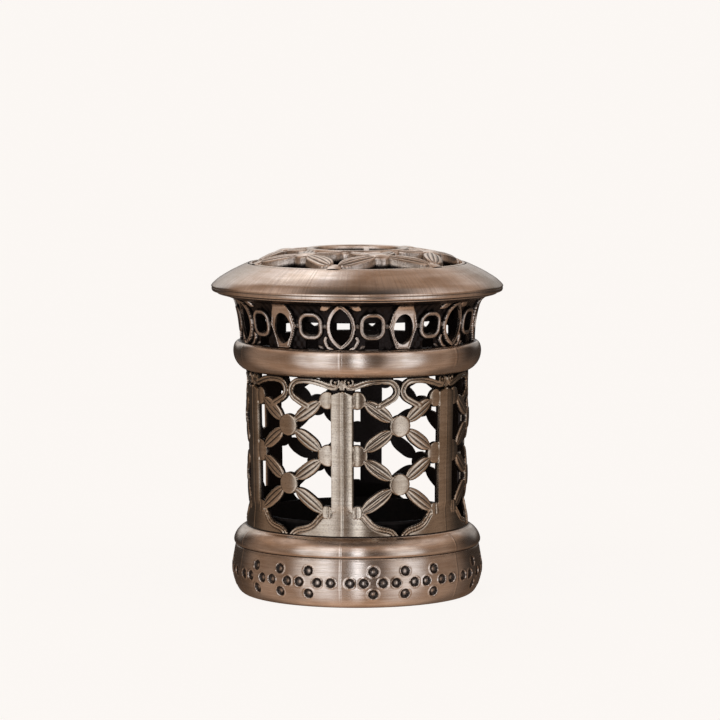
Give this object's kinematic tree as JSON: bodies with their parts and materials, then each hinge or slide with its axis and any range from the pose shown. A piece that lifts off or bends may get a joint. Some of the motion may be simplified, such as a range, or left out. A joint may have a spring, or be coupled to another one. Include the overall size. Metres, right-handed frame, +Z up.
{
  "type": "incense burner",
  "caption": "Round lattice-walled incense burner with a domed pierced lift-off lid, a flared gallery, a dimpled base band and a removable ash pan.",
  "frame": {"origin": "centre of the underside of the base, on the surface that the burner stands on", "axes": "+Z up along the burner's axis; -Y is the middle of one pillar, and +X is a quarter turn on from it"},
  "size_m": [0.0764, 0.0764, 0.0906],
  "materials": {
    "antique_bronze": "antique bronze plating, brushed on the smooth rings, dark in the recesses",
    "dark_bronze": "antique bronze plating, darker, polished on the raised ornament",
    "black_metal": "matt black heatproof coat",
    "screw_steel": "plated",
    "fibre": "pressed glass-fibre mat, smoke stained",
    "brass": "turned, slightly tarnished"
  },
  "bodies": {
    "burner": {"base_ring": "antique_bronze", "base_plate": "black_metal", "base_screw_1": "screw_steel", "base_screw_2": "screw_steel", "base_screw_3": "screw_steel", "lattice_panel_1": "antique_bronze", "lattice_panel_2": "antique_bronze", "lattice_panel_3": "antique_bronze", "lattice_panel_4": "antique_bronze", "lattice_panel_5": "antique_bronze", "lattice_panel_6": "antique_bronze", "waist_ring": "antique_bronze", "gallery_collar": "dark_bronze"},
    "lid": {"lid_ring": "antique_bronze", "lid_rosette": "dark_bronze", "lid_skirt": "dark_bronze"},
    "pan": {"ash_pan": "black_metal", "fibre_mat": "fibre", "incense_holder": "brass"}
  },
  "joints": [
    {"name": "lid_lift", "type": "slide", "parent": "burner", "child": "lid", "axis": [0, 0, 1], "range_m": [0, 0.12]},
    {"name": "pan_lift", "type": "slide", "parent": "burner", "child": "pan", "axis": [0, 0, 1], "range_m": [0, 0.078]}
  ],
  "couplings": [
    {"joint": "pan_lift", "follows": "lid_lift", "ratio": 0.65}
  ]
}
